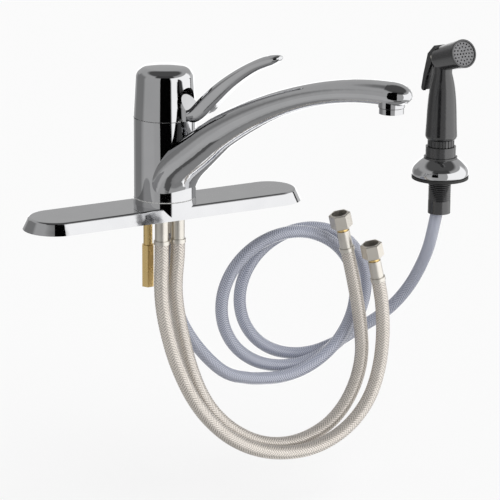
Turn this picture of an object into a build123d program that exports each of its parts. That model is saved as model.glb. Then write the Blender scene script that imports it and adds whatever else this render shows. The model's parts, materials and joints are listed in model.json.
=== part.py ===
"""Single-lever kitchen faucet with a side spray, its supply hoses and its spray hose.

Millimetres, +Z up. The origin is the centre of the deck plate's underside, on the deck.
The user stands on the -Y side. At rest the spout and the lever are swung towards +X.
"""

import os
from math import atan2, cos, degrees, radians, sin, sqrt, tan

from build123d import *

os.makedirs("parts", exist_ok=True)

# ---------------------------------------------------------------- driving dimensions
# Deck plate: a low stadium with a drafted edge, on a rubber gasket
plate_length = 266.7
plate_width = 57.0
plate_height = 10.4
plate_edge_inset = 5.0
plate_edge_radius = 2.6
plate_wall = 2.4
plate_rim = 3.0
gasket_thickness = 3.0
gasket_inset = 3.0
gasket_clearance = 0.3
pedestal_top = 15.1
pedestal_foot_radius = 28.3

# Column: the rotating shell round the fixed valve body
body_radius = 27.1
shell_bore = 22.5
shell_height = 70.1
running_clearance = 0.08
fit_clearance = 0.05
foot_radius = 20.0
foot_clearance = 0.2
foot_recess_depth = 1.0
foot_recess_clearance = 0.3
waterway_rise = 22.0
waterway_depth = 1.9
waterway_height = 24.1
mixing_depth = 24.0
cross_bore_drop = 5.9
spray_bore_radius = 2.6
lower_o_ring_rise = 10.0
upper_o_ring_drop = 11.0
o_ring_section = 1.2
port_radius = 3.2
port_circle = 9.5

# Swivel rings above and below the shell
swivel_ring_height = 0.9
swivel_ring_recess = 0.7
upper_ring_height = 3.0
upper_ring_wall = 2.7

# Spout
spout_turn = 22.0
spout_reach = 238.0
spout_wall = 2.4
spout_tip_length = 18.5
spout_tip_steps = 4
spout_tip_sweep = 82.0
outlet_boss_radius = 11.0
outlet_boss_drop = 10.4

# Aerator
aerator_radius = 10.3
aerator_height = 4.6
aerator_thread_radius = 9.0
aerator_thread_length = 5.5
aerator_wall = 1.6
aerator_lip = 1.0
aerator_floor = 1.2
washer_height = 0.6
insert_height = 6.0
insert_hole_radius = 0.9

# Cartridge: ceramic discs, a turning spindle and a tilting stem
cartridge_radius = 17.5
cartridge_depth = 26.6
cartridge_height = 35.4
cartridge_wall = 2.9
cartridge_roof = 3.4
disc_clearance = 0.15
base_height = 4.0
seal_ring_height = 1.2
seal_ring_wall = 1.1
fixed_disc_height = 4.0
moving_disc_height = 3.5
moving_disc_radius = 10.2
moving_disc_offset = 2.0
moving_disc_recess = 1.5
carrier_height = 5.0
carrier_radius = 10.6
carrier_floor = 2.0
carrier_pocket_length = 9.4
spindle_boss_radius = 10.4
spindle_floor_gap = 1.1
spindle_rise = 11.8
stem_pivot_rise = 1.4
stem_width = 7.2
stem_foot_gap = 1.1
stem_rise = 20.4
stem_slot_length = 16.6
stem_slot_clearance = 0.3
pin_radius = 1.5

# Bonnet nut over the cartridge
bonnet_radius = 22.6
bonnet_height = 10.5
bonnet_roof = 1.5
bonnet_hole_radius = 11.9
bonnet_thread_radius = 20.8
bonnet_thread_relief = 2.0

# Dome and lever
dome_gap = 0.5
dome_radius = 27.0
dome_shoulder_radius = 25.1
dome_shoulder_height = 34.4
dome_crown_radius = 17.0
dome_crown_drop = 1.2
dome_height = 44.6
dome_wall = 2.5
carrier_gap = 0.3
carrier_plate_height = 1.4
carrier_skirt_drop = 9.0
slot_half_width = 11.5
slot_arch_height = 28.2
lever_crease = 0.22
lever_keel = 0.5
lever_belly_width = 0.88
lever_belly_depth = 0.45
lever_hub_half_width = 9.0
lever_hub_floor = 15.6
lever_hub_height = 6.6
lever_hub_front = 25.9
lever_hub_back = 6.5
lever_nose_back = 24.9
lever_nose_floor = 0.6
lever_nose_side = 11.0
lever_nose_front = 31.0
lever_valley_floor = 10.8
lever_brow_reach = 22.0
lever_neck_half_width = 8.4
lever_neck_height = 4.0
lever_neck_back = 14.0
set_screw_radius = 2.4
set_screw_length = 2.6

# Diverter inside the valve body, over the spray outlet
outlet_x = 12.0
outlet_y = 8.0
diverter_radius = 4.6
diverter_floor = 20.0
diverter_roof = 44.0
diverter_length = 12.0
diverter_waist_radius = 3.0
diverter_waist_rise = 3.0
spring_wall = 1.4

# Mounting stud and its long nut
stud_x = -12.4
stud_y = 8.0
stud_radius = 4.0
stud_depth = 11.0
stud_end = -63.0
long_nut_flats = 9.9
long_nut_top = -28.7
long_nut_length = 37.7

# Supply hoses, from the valve body down and round to their end nuts
supply_half_spacing = 7.95
supply_y = -9.3
supply_bore = 4.4
supply_stem_rise = 12.0
supply_barb_radius = 3.0
supply_waterway = 2.0
supply_hose_diameter = 12.7
ferrule_radius = 6.0
ferrule_bell_radius = 7.0
ferrule_bell_height = 3.4
top_ferrule_start = -1.0
top_ferrule_length = 24.0
end_ferrule_length = 20.0
end_neck_radius = 5.1
end_neck_length = 3.4
end_flange_radius = 6.6
end_flange_height = 2.0
nut_flats = 17.5
nut_height = 13.6
nut_floor = 3.0
nut_relief_radius = 7.5
nut_thread_radius = 7.1
nut_chamfer = 0.8
seal_height = 2.5
face_gap = 0.1

# Spray hose and its coil
spray_hose_diameter = 11.5
nipple_radius = 4.5
nipple_rise = 12.0
nipple_neck_length = 4.0
nipple_barb_radius = 3.2
spray_ferrule_radius = 7.2
spray_ferrule_length = 16.0
spray_barb_length = 12.0
coil_x = 173.5
coil_y = 41.0
coil_z = -104.75
coil_half_width = 71.1
coil_half_height = 62.0
coil_growth = 3.54
coil_drift_x = -22.8
coil_drift_z = -1.3
coil_pitch = -13.0
coil_start_angle = -65.0
coil_sweep_angle = 765.0
coil_spans = 9
coil_approach_length = 14.0
coil_departure_length = 11.0

# Side spray: its holder through the deck
spray_x = 282.0
spray_y = -8.0
spray_gasket_radius = 26.1
spray_gasket_height = 2.4
escutcheon_foot_radius = 25.2
escutcheon_bulge = 0.8
escutcheon_height = 16.4
escutcheon_wall = 1.4
escutcheon_crown_radius = 15.6
escutcheon_belly_share = 0.28
escutcheon_shoulder_share = 0.75
escutcheon_shoulder_radius = 21.2
shank_radius = 10.45
shank_end = -33.0
shank_clearance = 0.25
shank_thread_top = -3.0
shank_thread_count = 10
shank_thread_pitch = 1.8
shank_thread_depth = 0.5
holder_bore = 8.8
holder_flare_radius = 15.4
holder_flare_height = 1.6
holder_collar_radius = 13.95
holder_collar_height = 9.6
holder_cup_radius = 11.2
holder_cup_depth = 8.0

# Sprayer
coupling_radius = 12.3
coupling_height = 6.2
coupling_clearance = 0.3
coupling_groove_count = 24
coupling_groove_radius = 0.7
hose_socket_depth = 6.0
hose_stub_end = -14.0
handle_foot_radius = 12.6
handle_hip_radius = 14.65
handle_hip_rise = 4.6
handle_waist_radius = 13.55
handle_waist_share = 0.439
handle_grip_radius = 11.9
handle_grip_share = 0.74
handle_neck_radius = 8.5
handle_neck_drop = 24.0
handle_top_drop = 10.5
handle_foot_bulge = 0.5
handle_channel_radius = 4.0
head_tilt = 17.0
head_face_reach = 33.0
head_face_height = 122.0
head_length = 40.0
head_face_radius = 13.0
head_back_radius = 11.0
head_back_fillet = 4.0
head_chamber_depth = 15.0
head_wall = 2.4
face_ring_wall = 1.7
face_ring_length = 3.0
nozzle_recess = 1.2
nozzle_hole_radius = 0.8
nozzle_ring_pitch = 3.1
trigger_half_width = 8.0
trigger_web = 2.4
trigger_flange = 2.6
trigger_edge_radius = 1.2
trigger_pivot_y = 0.2
trigger_pivot_drop = 9.8
trigger_pin_radius = 1.3
trigger_lug_radius = 2.7
trigger_lug_half_width = 4.8
trigger_side_clearance = 0.4
valve_stem_radius = 1.5
valve_stem_drop = 17.5
valve_stem_inner_end = -6.5
valve_stem_outer_end = 5.7
valve_boss_radius = 4.2
valve_boss_end = 2.9
valve_pocket_radius = 3.0
valve_pocket_floor = -2.0
valve_spring_start = -0.7
valve_spring_end = 3.8
valve_head_length = 1.2

# ---------------------------------------------------------------- derived places
seam_low = pedestal_top + swivel_ring_height
seam_high = seam_low + shell_height
column_radius = shell_bore - running_clearance
dome_foot = seam_high + dome_gap
bonnet_top = dome_foot + bonnet_height
cartridge_seat = dome_foot - cartridge_depth
cartridge_top = cartridge_seat + cartridge_height
spindle_top = dome_foot + spindle_rise
stem_pivot_height = dome_foot + stem_pivot_rise
stem_top = dome_foot + stem_rise
supply_places = {"left": (-supply_half_spacing, supply_y), "right": (supply_half_spacing, supply_y)}
outlet_place = (outlet_x, outlet_y)
stud_place = (stud_x, stud_y)
spray_place = (spray_x, spray_y)

spout_azimuth = spout_turn - 90.0
forward = Vector(cos(radians(spout_azimuth)), sin(radians(spout_azimuth)), 0)
sideways = Vector(-sin(radians(spout_azimuth)), cos(radians(spout_azimuth)), 0)


def section_plane(reach, height, slope):
    """A plane square to a path in the upright plane of the spout and lever."""
    angle = radians(slope)
    normal = forward * cos(angle) + Vector(0, 0, sin(angle))
    return Plane(origin=forward * reach + Vector(0, 0, height), x_dir=sideways, z_dir=normal)


def side_plane(offset):
    """The upright plane of the spout and lever, moved sideways; its axes are reach and height."""
    return Plane(origin=sideways * offset, x_dir=forward, z_dir=-sideways)


def ring_face(inner, outer, bottom, center=(0, 0)):
    """The flat face of a washer or a disc at a height, to be extruded upwards."""
    with BuildSketch(Plane.XY.offset(bottom)) as face:
        with Locations(center):
            Circle(outer)
            if inner > 0:
                Circle(inner, mode=Mode.SUBTRACT)
    return face.sketch


def turned_face(points, center=(0, 0)):
    """The half section of a turned piece from its (radius, height) points."""
    with BuildSketch(Plane(origin=(*center, 0), x_dir=(1, 0, 0), z_dir=(0, -1, 0))) as face:
        with BuildLine():
            Polyline(*points, close=True)
        make_face()
    return face.sketch


def upright(center):
    return Axis((*center, 0), (0, 0, 1))


def oval_section(reach, height, slope, half_width, half_height):
    """An oval section of the spout, as four quarter arcs."""
    with BuildSketch(section_plane(reach, height, slope)) as face:
        with BuildLine():
            for start_angle in range(0, 360, 90):
                EllipticalCenterArc((0, 0), half_width, half_height, start_angle=start_angle, arc_size=90)
        make_face()
    return face.sketch


def blade_section(reach, height, slope, half_width, half_height):
    """A section of the lever: a crowned top, a crease on each side and a narrow flat keel."""
    crease = lever_crease * half_height
    keel = lever_keel * half_width
    belly = (lever_belly_width * half_width, -lever_belly_depth * half_height)
    with BuildSketch(section_plane(reach, height, slope)) as face:
        with BuildLine():
            ThreePointArc((half_width, crease), (0, half_height), (-half_width, crease))
            ThreePointArc((-half_width, crease), (-belly[0], belly[1]), (-keel, -half_height))
            Line((-keel, -half_height), (keel, -half_height))
            ThreePointArc((keel, -half_height), belly, (half_width, crease))
        make_face()
    return face.sketch


def save(builder, name):
    builder.part.label = name
    export_step(builder.part, f"parts/{name}.step")


# ---------------------------------------------------------------- deck plate and gasket
with BuildPart() as deck_plate:
    with BuildSketch(Plane.XY):
        SlotOverall(plate_length, plate_width)
    with BuildSketch(Plane.XY.offset(plate_height)):
        SlotOverall(plate_length - 2 * plate_edge_inset, plate_width - 2 * plate_edge_inset)
    loft(ruled=True)
    fillet(deck_plate.faces().sort_by(Axis.Z)[-1].edges(), plate_edge_radius)
    with BuildSketch(Plane.XY):
        Circle(pedestal_foot_radius)
    with BuildSketch(Plane.XY.offset(pedestal_top)):
        Circle(body_radius)
    loft(ruled=True)
    inner_length = plate_length - 2 * plate_rim
    inner_width = plate_width - 2 * plate_rim
    with BuildSketch(Plane.XY):
        SlotOverall(inner_length, inner_width)
    with BuildSketch(Plane.XY.offset(plate_height - plate_wall)):
        SlotOverall(inner_length - 2 * plate_edge_inset, inner_width - 2 * plate_edge_inset)
    loft(ruled=True, mode=Mode.SUBTRACT)
    extrude(ring_face(0, foot_radius + foot_clearance, 0), amount=pedestal_top, mode=Mode.SUBTRACT)
save(deck_plate, "deck_plate")

with BuildPart() as deck_gasket:
    with BuildSketch(Plane.XY):
        SlotOverall(inner_length - 2 * gasket_inset, inner_width - 2 * gasket_inset)
        Circle(foot_radius + gasket_clearance, mode=Mode.SUBTRACT)
    extrude(amount=gasket_thickness)
save(deck_gasket, "deck_gasket")

# ---------------------------------------------------------------- valve body
o_ring_heights = (seam_low + lower_o_ring_rise, seam_high - upper_o_ring_drop)
waterway_floor = seam_low + waterway_rise
mixing_floor = cartridge_seat - mixing_depth
supply_angle = degrees(atan2(supply_y, supply_half_spacing))
port_places = [
    (port_circle * cos(radians(angle)), port_circle * sin(radians(angle)))
    for angle in (supply_angle, 180.0 - supply_angle, 90.0)
]

with BuildPart() as valve_body:
    extrude(ring_face(0, foot_radius, 0), amount=pedestal_top)
    extrude(ring_face(0, column_radius, pedestal_top), amount=dome_foot - pedestal_top)
    thread_height = bonnet_height - bonnet_roof - bonnet_thread_relief
    extrude(ring_face(0, bonnet_thread_radius, dome_foot), amount=thread_height)
    # Cartridge chamber, open at the top
    chamber = ring_face(0, cartridge_radius + fit_clearance, cartridge_seat)
    extrude(chamber, amount=cartridge_height, mode=Mode.SUBTRACT)
    # Grooves for the shell's seals, and the ring-shaped waterway between them
    for height in o_ring_heights:
        groove_floor = height - o_ring_section - fit_clearance
        groove = ring_face(column_radius - 2 * o_ring_section, shell_bore, groove_floor)
        extrude(groove, amount=2 * (o_ring_section + fit_clearance), mode=Mode.SUBTRACT)
    waterway = ring_face(column_radius - waterway_depth, shell_bore, waterway_floor)
    extrude(waterway, amount=waterway_height, mode=Mode.SUBTRACT)
    # Inlets from the two supply hoses, with room in the foot for their ferrules
    for place in supply_places.values():
        extrude(ring_face(0, supply_bore, 0, place), amount=cartridge_seat, mode=Mode.SUBTRACT)
        recess = ring_face(0, ferrule_radius + foot_recess_clearance, 0, place)
        extrude(recess, amount=foot_recess_depth, mode=Mode.SUBTRACT)
    # Mixed water comes down from the cartridge, out to the waterway and across to the diverter
    mixing_place = port_places[2]
    mixing_bore = ring_face(0, port_radius, mixing_floor, mixing_place)
    extrude(mixing_bore, amount=mixing_depth, mode=Mode.SUBTRACT)
    with BuildSketch(Plane.XZ.offset(-port_circle)):
        with Locations((0, cartridge_seat - cross_bore_drop)):
            Circle(port_radius)
    extrude(amount=port_circle - shell_bore, mode=Mode.SUBTRACT)
    with BuildSketch(Plane.YZ):
        with Locations((outlet_y, diverter_roof - port_radius)):
            Circle(spray_bore_radius)
    extrude(amount=outlet_x, mode=Mode.SUBTRACT)
    # Diverter chamber, with the spray outlet below it
    diverter_chamber = ring_face(0, diverter_radius + running_clearance, diverter_floor, outlet_place)
    extrude(diverter_chamber, amount=diverter_roof - diverter_floor, mode=Mode.SUBTRACT)
    nipple_bore = ring_face(0, nipple_radius + fit_clearance, 0, outlet_place)
    extrude(nipple_bore, amount=nipple_rise, mode=Mode.SUBTRACT)
    extrude(ring_face(0, port_radius, 0, outlet_place), amount=diverter_floor, mode=Mode.SUBTRACT)
    # Threaded hole for the mounting stud
    extrude(ring_face(0, stud_radius + fit_clearance, 0, stud_place), amount=stud_depth, mode=Mode.SUBTRACT)
save(valve_body, "valve_body")

with BuildPart() as spout_o_rings:
    for height in o_ring_heights:
        with BuildSketch(Plane.XZ):
            with Locations((column_radius - o_ring_section, height)):
                Circle(o_ring_section)
        revolve(axis=Axis.Z)
save(spout_o_rings, "spout_o_rings")

with BuildPart() as lower_swivel_ring:
    ring = ring_face(shell_bore + running_clearance, body_radius - swivel_ring_recess, pedestal_top)
    extrude(ring, amount=swivel_ring_height)
save(lower_swivel_ring, "lower_swivel_ring")

upper_ring_radius = shell_bore + upper_ring_wall
upper_ring_foot = dome_foot - upper_ring_height

with BuildPart() as upper_swivel_ring:
    extrude(ring_face(shell_bore, upper_ring_radius, upper_ring_foot), amount=upper_ring_height)
save(upper_swivel_ring, "upper_swivel_ring")

# ---------------------------------------------------------------- spout and its shell
# Reach, height, slope, half width and half height of each section of the spout
spout_sections = (
    (0.0063 * spout_reach, 16.5, 86.0, 24.5, 20.0),
    (0.0336 * spout_reach, 31.5, 66.0, 26.0, 19.5),
    (0.0777 * spout_reach, 45.5, 50.0, 26.0, 18.0),
    (0.1324 * spout_reach, 56.8, 42.0, 24.6, 16.8),
    (0.1891 * spout_reach, 68.0, 39.5, 22.2, 15.7),
    (0.2773 * spout_reach, 84.0, 35.5, 18.4, 14.2),
    (0.3929 * spout_reach, 100.5, 30.0, 15.6, 12.5),
    (0.5252 * spout_reach, 115.6, 23.5, 13.7, 10.8),
    (0.6765 * spout_reach, 128.4, 17.0, 12.7, 9.8),
    (0.8403 * spout_reach, 136.9, 9.0, 12.5, 9.6),
    (spout_reach, 139.7, 2.0, 12.9, 10.0),
)
outlet_height, tip_half_width, tip_half_height = (spout_sections[-1][index] for index in (1, 3, 4))
boss_foot = outlet_height - outlet_boss_drop
tip_place = (forward.X * spout_reach, forward.Y * spout_reach)
tip_sections = [spout_sections[-1]]
for step in range(1, spout_tip_steps + 1):
    share = sin(radians(spout_tip_sweep * step / spout_tip_steps))
    shrink = sqrt(1 - share**2)
    reach = spout_reach + spout_tip_length * share
    tip_sections.append((reach, outlet_height, 0, tip_half_width * shrink, tip_half_height * shrink))

with BuildPart() as spout:
    loft(sections=[oval_section(*section) for section in spout_sections])
    loft(sections=[oval_section(*section) for section in tip_sections])
    extrude(ring_face(0, body_radius, seam_low), amount=shell_height)
    extrude(ring_face(0, outlet_boss_radius, boss_foot, tip_place), amount=outlet_boss_drop)
    # Water channel, from the column to the aerator
    channel_sections = [
        oval_section(reach, height, slope, half_width - spout_wall, half_height - spout_wall)
        for reach, height, slope, half_width, half_height in spout_sections[2:]
    ]
    loft(sections=channel_sections, mode=Mode.SUBTRACT)
    outlet = ring_face(0, aerator_thread_radius + fit_clearance, boss_foot, tip_place)
    extrude(outlet, amount=outlet_boss_drop, mode=Mode.SUBTRACT)
    # Everything below the lower seam goes, then the bore and the upper ring's seat
    below = ring_face(0, 4 * body_radius, seam_low)
    extrude(below, amount=-2 * body_radius, mode=Mode.SUBTRACT)
    extrude(ring_face(0, shell_bore, seam_low), amount=shell_height, mode=Mode.SUBTRACT)
    ring_seat = ring_face(0, upper_ring_radius + fit_clearance, upper_ring_foot)
    extrude(ring_seat, amount=upper_ring_height, mode=Mode.SUBTRACT)
save(spout, "spout")

# ---------------------------------------------------------------- aerator
washer_foot = boss_foot - washer_height
aerator_foot = washer_foot - aerator_height
aerator_bore = aerator_thread_radius - aerator_wall

with BuildPart() as aerator_housing:
    extrude(ring_face(0, aerator_radius, aerator_foot, tip_place), amount=aerator_height)
    extrude(ring_face(0, aerator_thread_radius, washer_foot, tip_place), amount=aerator_thread_length)
    mouth = ring_face(0, aerator_bore - aerator_lip, aerator_foot, tip_place)
    extrude(mouth, amount=aerator_floor, mode=Mode.SUBTRACT)
    bore = ring_face(0, aerator_bore, aerator_foot + aerator_floor, tip_place)
    extrude(bore, amount=aerator_height + aerator_thread_length, mode=Mode.SUBTRACT)
save(aerator_housing, "aerator_housing")

with BuildPart() as aerator_insert:
    insert_foot = aerator_foot + aerator_floor
    extrude(ring_face(0, aerator_bore - fit_clearance, insert_foot, tip_place), amount=insert_height)
    with BuildSketch(Plane.XY.offset(insert_foot)):
        with Locations(tip_place):
            Circle(insert_hole_radius)
            for ring_index in (1, 2):
                with PolarLocations(2.6 * ring_index * insert_hole_radius, 6 * ring_index):
                    Circle(insert_hole_radius)
    extrude(amount=insert_height, mode=Mode.SUBTRACT)
save(aerator_insert, "aerator_insert")

with BuildPart() as aerator_washer:
    washer = ring_face(aerator_thread_radius + fit_clearance, aerator_radius, washer_foot, tip_place)
    extrude(washer, amount=washer_height)
save(aerator_washer, "aerator_washer")

# ---------------------------------------------------------------- cartridge
cavity_radius = cartridge_radius - cartridge_wall
cavity_roof = cartridge_top - cartridge_roof
disc_radius = cavity_radius - disc_clearance
fixed_disc_foot = cartridge_seat + base_height
moving_disc_foot = fixed_disc_foot + fixed_disc_height
disc_carrier_foot = moving_disc_foot + moving_disc_height
disc_carrier_top = disc_carrier_foot + carrier_height
spindle_foot = disc_carrier_top + spindle_floor_gap
stem_foot = disc_carrier_foot + carrier_floor + stem_foot_gap
slider_place = (-forward.X * moving_disc_offset, -forward.Y * moving_disc_offset)

with BuildPart() as cartridge_housing:
    extrude(ring_face(0, cartridge_radius, cartridge_seat), amount=cartridge_height)
    cavity = ring_face(0, cavity_radius, cartridge_seat)
    extrude(cavity, amount=cavity_roof - cartridge_seat, mode=Mode.SUBTRACT)
    neck_hole = ring_face(0, spindle_boss_radius + running_clearance, cavity_roof)
    extrude(neck_hole, amount=cartridge_roof, mode=Mode.SUBTRACT)
save(cartridge_housing, "cartridge_housing")

with BuildPart() as cartridge_base:
    extrude(ring_face(0, disc_radius, cartridge_seat), amount=base_height)
    for place in port_places:
        extrude(ring_face(0, port_radius, cartridge_seat, place), amount=base_height, mode=Mode.SUBTRACT)
        seal_seat = ring_face(0, port_radius + seal_ring_wall + fit_clearance, cartridge_seat, place)
        extrude(seal_seat, amount=seal_ring_height, mode=Mode.SUBTRACT)
save(cartridge_base, "cartridge_base")

with BuildPart() as cartridge_seals:
    for place in port_places:
        seal = ring_face(port_radius, port_radius + seal_ring_wall, cartridge_seat, place)
        extrude(seal, amount=seal_ring_height)
save(cartridge_seals, "cartridge_seals")

with BuildPart() as fixed_disc:
    extrude(ring_face(0, disc_radius, fixed_disc_foot), amount=fixed_disc_height)
    for place in port_places:
        port = ring_face(0, port_radius, fixed_disc_foot, place)
        extrude(port, amount=fixed_disc_height, mode=Mode.SUBTRACT)
save(fixed_disc, "fixed_disc")

with BuildPart() as moving_disc:
    extrude(ring_face(0, moving_disc_radius, moving_disc_foot, slider_place), amount=moving_disc_height)
    recess = ring_face(0, moving_disc_radius - port_radius, moving_disc_foot, slider_place)
    extrude(recess, amount=moving_disc_recess, mode=Mode.SUBTRACT)
save(moving_disc, "moving_disc")

stem_slot_width = stem_width + 2 * stem_slot_clearance

with BuildPart() as disc_carrier:
    extrude(ring_face(0, carrier_radius, disc_carrier_foot, slider_place), amount=carrier_height)
    with BuildSketch(Plane(origin=(0, 0, disc_carrier_foot + carrier_floor), x_dir=forward)):
        Rectangle(carrier_pocket_length, stem_slot_width)
    extrude(amount=carrier_height, mode=Mode.SUBTRACT)
save(disc_carrier, "disc_carrier")

with BuildPart() as cartridge_spindle:
    flange_height = cavity_roof - face_gap - spindle_foot
    extrude(ring_face(0, disc_radius, spindle_foot), amount=flange_height)
    extrude(ring_face(0, spindle_boss_radius, spindle_foot), amount=spindle_top - spindle_foot)
    with BuildSketch(Plane(origin=(0, 0, spindle_foot), x_dir=forward)):
        Rectangle(stem_slot_length, stem_slot_width)
    extrude(amount=spindle_top - spindle_foot, mode=Mode.SUBTRACT)
    with BuildSketch(side_plane(-cartridge_radius)):
        with Locations((0, stem_pivot_height)):
            Circle(pin_radius + fit_clearance)
    extrude(amount=-2 * cartridge_radius, mode=Mode.SUBTRACT)
save(cartridge_spindle, "cartridge_spindle")

with BuildPart() as cartridge_stem:
    with BuildSketch(Plane(origin=(0, 0, stem_foot), x_dir=forward)):
        Rectangle(stem_width, stem_width)
    extrude(amount=stem_top - stem_foot)
    with BuildSketch(side_plane(-stem_width)):
        with Locations((0, stem_pivot_height)):
            Circle(pin_radius + running_clearance)
    extrude(amount=-2 * stem_width, mode=Mode.SUBTRACT)
save(cartridge_stem, "cartridge_stem")

pin_half_length = sqrt(disc_radius**2 - pin_radius**2) - face_gap

with BuildPart() as pivot_pin:
    with BuildSketch(side_plane(-pin_half_length)):
        with Locations((0, stem_pivot_height)):
            Circle(pin_radius)
    extrude(amount=-2 * pin_half_length)
save(pivot_pin, "pivot_pin")

# ---------------------------------------------------------------- bonnet nut
with BuildPart() as bonnet_nut:
    extrude(ring_face(0, bonnet_radius, dome_foot), amount=bonnet_height)
    nut_cavity = ring_face(0, bonnet_thread_radius + fit_clearance, dome_foot)
    extrude(nut_cavity, amount=bonnet_height - bonnet_roof, mode=Mode.SUBTRACT)
    extrude(ring_face(0, bonnet_hole_radius, dome_foot), amount=bonnet_height, mode=Mode.SUBTRACT)
save(bonnet_nut, "bonnet_nut")

# ---------------------------------------------------------------- dome, its carrier and the lever
dome_taper = (dome_radius - dome_shoulder_radius) / dome_shoulder_height
carrier_plate_foot = bonnet_top + carrier_gap
carrier_plate_top = carrier_plate_foot + carrier_plate_height
dome_bore_at_plate = dome_radius - dome_wall - dome_taper * (carrier_plate_top - dome_foot)


def dome_face(inset):
    """Half section of the dome, with its outline moved inwards by a wall."""
    shoulder = (dome_shoulder_radius - inset, dome_foot + dome_shoulder_height)
    crown_edge = (dome_crown_radius - inset / 2, dome_foot + dome_height - dome_crown_drop - inset)
    top = (0, dome_foot + dome_height - inset)
    crown_arc = (crown_edge[0] ** 2 + dome_crown_drop**2) / (2 * dome_crown_drop)
    with BuildSketch(Plane.XZ) as face:
        with BuildLine():
            side = Line((dome_radius - inset, dome_foot), shoulder)
            TangentArc(shoulder, crown_edge, tangent=side % 1)
            RadiusArc(crown_edge, top, -crown_arc)
            Polyline(top, (0, dome_foot), (dome_radius - inset, dome_foot))
        make_face()
    return face.sketch


with BuildPart() as handle_dome:
    revolve(dome_face(0), axis=Axis.Z)
    revolve(dome_face(dome_wall), axis=Axis.Z, mode=Mode.SUBTRACT)
    # Arched slot for the lever, open at the bottom
    arch_spring = slot_arch_height - slot_half_width
    with BuildSketch(section_plane(dome_shoulder_radius / 2, dome_foot, 0)):
        with BuildLine():
            arch_start, arch_end = (slot_half_width, arch_spring), (-slot_half_width, arch_spring)
            ThreePointArc(arch_start, (0, slot_arch_height), arch_end)
            Polyline(arch_end, (-slot_half_width, -dome_gap), (slot_half_width, -dome_gap), arch_start)
        make_face()
    extrude(amount=dome_radius, mode=Mode.SUBTRACT)
save(handle_dome, "handle_dome")

with BuildPart() as dome_carrier:
    carrier_outer = dome_bore_at_plate - fit_clearance
    carrier_bore = spindle_boss_radius + fit_clearance
    extrude(ring_face(carrier_bore, carrier_outer, carrier_plate_foot), amount=carrier_plate_height)
    skirt = ring_face(bonnet_radius + carrier_gap, carrier_outer, carrier_plate_foot)
    extrude(skirt, amount=-carrier_skirt_drop)
    with BuildSketch(section_plane(carrier_bore + carrier_gap, carrier_plate_top, 0)):
        Rectangle(2 * slot_half_width, 4 * carrier_skirt_drop)
    extrude(amount=dome_radius, mode=Mode.SUBTRACT)
save(dome_carrier, "dome_carrier")

# Reach, height, slope, half width and half height of each section of the lever
lever_sections = (
    (30.0, dome_foot + 6.0, 0.0, 9.0, 5.4),
    (35.5, dome_foot + 7.4, 25.0, 9.0, 7.0),
    (41.5, dome_foot + 12.0, 42.0, 9.0, 7.7),
    (50.1, dome_foot + 20.5, 42.7, 8.9, 7.7),
    (61.0, dome_foot + 30.6, 42.0, 8.7, 7.25),
    (71.7, dome_foot + 39.5, 38.5, 8.5, 6.4),
    (82.4, dome_foot + 47.3, 35.0, 8.3, 5.7),
    (93.1, dome_foot + 54.1, 31.0, 8.1, 5.1),
    (103.6, dome_foot + 59.7, 25.0, 7.9, 4.7),
    (114.1, dome_foot + 63.9, 21.0, 7.5, 4.3),
)
lever_tip_sections = (
    lever_sections[-1],
    (118.8, dome_foot + 65.6, 20.0, 6.9, 3.8),
    (122.2, dome_foot + 66.8, 20.0, 5.9, 3.0),
    (124.2, dome_foot + 67.5, 20.0, 4.6, 2.1),
    (125.1, dome_foot + 67.8, 20.0, 3.0, 1.1),
)
hub_floor = dome_foot + lever_hub_floor
hub_middle = hub_floor + lever_hub_height / 2

with BuildPart() as handle_lever:
    loft(sections=[blade_section(*section) for section in lever_tip_sections])
    with BuildSketch(section_plane(-lever_hub_back, hub_floor, 0)):
        with BuildLine():
            ThreePointArc((lever_hub_half_width, 0), (0, lever_hub_height), (-lever_hub_half_width, 0))
            Line((-lever_hub_half_width, 0), (lever_hub_half_width, 0))
        make_face()
    extrude(amount=lever_hub_back + lever_hub_front)
    with BuildSketch(section_plane(lever_neck_back, hub_floor + face_gap, 0)):
        Rectangle(2 * lever_neck_half_width, lever_neck_height, align=(Align.CENTER, Align.CENTER))
    extrude(amount=lever_hub_front - lever_neck_back)
    # Arched nose that fills the dome's slot, sloping down to the valley before the blade
    hub_top = lever_hub_floor + lever_hub_height
    with BuildSketch(section_plane(lever_nose_back, dome_foot, 0)):
        with BuildLine():
            nose_left = (-lever_hub_half_width, lever_nose_side)
            nose_right = (lever_hub_half_width, lever_nose_side)
            ThreePointArc(nose_right, (0, hub_top), nose_left)
            Polyline(
                nose_left,
                (-lever_hub_half_width, lever_nose_floor),
                (lever_hub_half_width, lever_nose_floor),
                nose_right,
            )
        make_face()
    extrude(amount=lever_nose_front - lever_nose_back)
    with BuildSketch(side_plane(-2 * lever_hub_half_width)):
        brow = (lever_brow_reach, dome_foot + hub_top)
        valley = (lever_nose_front, dome_foot + lever_valley_floor)
        Polygon(brow, valley, (lever_nose_front, brow[1]), align=None)
    extrude(amount=-4 * lever_hub_half_width, mode=Mode.SUBTRACT)
    loft(sections=[blade_section(*section) for section in lever_sections])
    # Square socket for the stem and the screw that locks it
    with BuildSketch(Plane(origin=(0, 0, hub_floor), x_dir=forward)):
        Rectangle(stem_width + 2 * fit_clearance, stem_width + 2 * fit_clearance)
    extrude(amount=stem_top + face_gap - hub_floor, mode=Mode.SUBTRACT)
    with BuildSketch(section_plane(-lever_hub_back, hub_middle, 0)):
        Circle(set_screw_radius + fit_clearance)
    extrude(amount=lever_hub_back, mode=Mode.SUBTRACT)
save(handle_lever, "handle_lever")

with BuildPart() as set_screw:
    with BuildSketch(section_plane(-lever_hub_back, hub_middle, 0)):
        Circle(set_screw_radius)
    extrude(amount=set_screw_length)
    with BuildSketch(section_plane(-lever_hub_back, hub_middle, 0)):
        RegularPolygon(set_screw_radius / 2, 6)
    extrude(amount=set_screw_length / 2, mode=Mode.SUBTRACT)
save(set_screw, "set_screw")

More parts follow.
